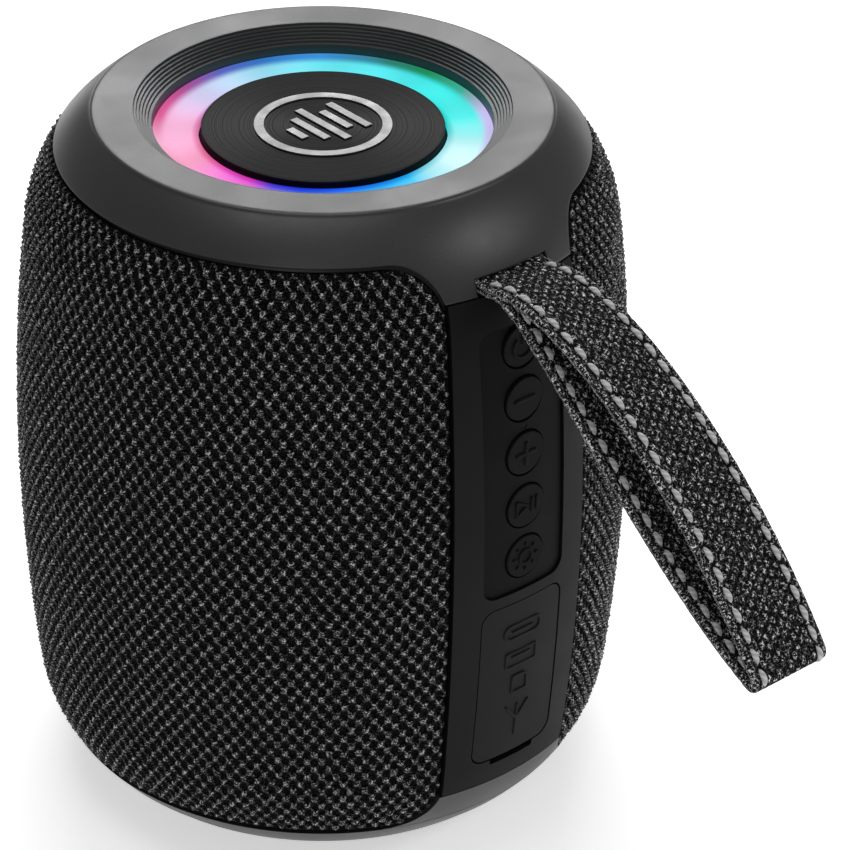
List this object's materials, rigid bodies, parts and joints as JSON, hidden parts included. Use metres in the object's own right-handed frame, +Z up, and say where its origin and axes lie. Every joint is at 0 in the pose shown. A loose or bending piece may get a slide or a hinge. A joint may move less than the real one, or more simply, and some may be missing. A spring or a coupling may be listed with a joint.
{
  "type": "portable speaker",
  "caption": "Barrel-shaped portable speaker wrapped in mesh fabric, with a lit top and centre radiator plate, an upright key strip, a port cover and a webbing wrist strap.",
  "frame": {"origin": "centre of the rubber foot's resting face", "axes": "+Z up along the barrel's axis; the key strip, the port cover and the strap face -Y; the driver fires towards +Y"},
  "size_m": [0.1, 0.1574, 0.118],
  "materials": {
    "collar": "soft-touch, fine grain",
    "fabric": "coarse black mesh knit",
    "shell": "moulded",
    "spine": "fine satin grain",
    "rubber": "matte silicone rubber",
    "diffuser": "frosted translucent, lit",
    "tray": "white reflector",
    "board": "solder-mask green",
    "chip": "black epoxy",
    "led": "clear over yellow phosphor",
    "plate": "black with turned rings",
    "emblem": "bright satin",
    "steel": "zinc plated",
    "magnet": "sintered ferrite",
    "cone": "pressed paper",
    "spider": "resin-set cloth",
    "coil": "copper winding",
    "battery": "shrink sleeve",
    "webbing": "heather webbing, grey stitches"
  },
  "bodies": {
    "housing": {"top_collar": "collar", "grille_fabric": "fabric", "body_shell": "shell", "deck_gasket": "rubber", "spine_panel": "spine", "keypad_pad": "rubber", "indicator_pipe": "diffuser", "base_cup": "spine", "rubber_foot": "rubber", "base_screws": "steel", "collar_screws": "steel", "light_ring": "diffuser", "light_tray": "tray", "led_board": "board", "leds": "led", "radiator_surround": "rubber", "radiator_frame": "shell", "driver_frame": "steel", "driver_gasket": "rubber", "driver_screws": "steel", "driver_top_plate": "steel", "driver_magnet": "magnet", "driver_back_plate": "steel", "driver_surround": "rubber", "driver_spider": "spider", "key_board": "board", "tact_switches": "steel", "main_board": "board", "board_parts": "chip", "usb_c_socket": "steel", "usb_a_socket": "steel", "card_socket": "steel", "battery_cell": "battery", "battery_cradle": "shell", "battery_strap": "shell", "battery_screws": "steel", "strap_anchor_pin": "steel", "strap_tail": "webbing"},
    "key_light": {"button_light": "rubber"},
    "key_play": {"button_play": "rubber"},
    "key_plus": {"button_plus": "rubber"},
    "key_minus": {"button_minus": "rubber"},
    "key_power": {"button_power": "rubber"},
    "cover": {"port_cover": "rubber"},
    "strap": {"strap_loop": "webbing"},
    "radiator": {"radiator_plate": "plate", "radiator_rim": "rubber", "plate_emblem": "emblem", "radiator_stem": "shell", "radiator_diaphragm": "shell", "radiator_weight": "steel"},
    "driver_moving": {"driver_cone": "cone", "driver_dust_cap": "cone", "driver_voice_coil": "coil"}
  },
  "joints": [
    {"name": "light_key_press", "type": "slide", "parent": "housing", "child": "key_light", "axis": [0, 1, 0], "range_m": [0, 0.0004], "stiffness_N_per_m": 600},
    {"name": "play_key_press", "type": "slide", "parent": "housing", "child": "key_play", "axis": [0, 1, 0], "range_m": [0, 0.0004], "stiffness_N_per_m": 600},
    {"name": "plus_key_press", "type": "slide", "parent": "housing", "child": "key_plus", "axis": [0, 1, 0], "range_m": [0, 0.0004], "stiffness_N_per_m": 600},
    {"name": "minus_key_press", "type": "slide", "parent": "housing", "child": "key_minus", "axis": [0, 1, 0], "range_m": [0, 0.0004], "stiffness_N_per_m": 600},
    {"name": "power_key_press", "type": "slide", "parent": "housing", "child": "key_power", "axis": [0, 1, 0], "range_m": [0, 0.0004], "stiffness_N_per_m": 600},
    {"name": "port_cover_hinge", "type": "hinge", "parent": "housing", "child": "cover", "pos_m": [0, -0.04994, 0.0506], "axis": [-1, 0, 0], "range_deg": [0, 90], "stiffness_Nm_per_rad": 0.003},
    {"name": "strap_swing", "type": "hinge", "parent": "housing", "child": "strap", "pos_m": [0, -0.04675, 0.1071], "axis": [-1, 0, 0], "range_deg": [-40, 85], "stiffness_Nm_per_rad": 0.04},
    {"name": "radiator_stroke", "type": "slide", "parent": "housing", "child": "radiator", "axis": [0, 0, 1], "range_m": [-0.0012, 0.0012], "stiffness_N_per_m": 1500, "deforming": ["radiator_surround"]},
    {"name": "driver_stroke", "type": "slide", "parent": "housing", "child": "driver_moving", "axis": [0, 1, 0], "range_m": [-0.0015, 0.0015], "stiffness_N_per_m": 1200, "deforming": ["driver_surround", "driver_spider"]}
  ]
}
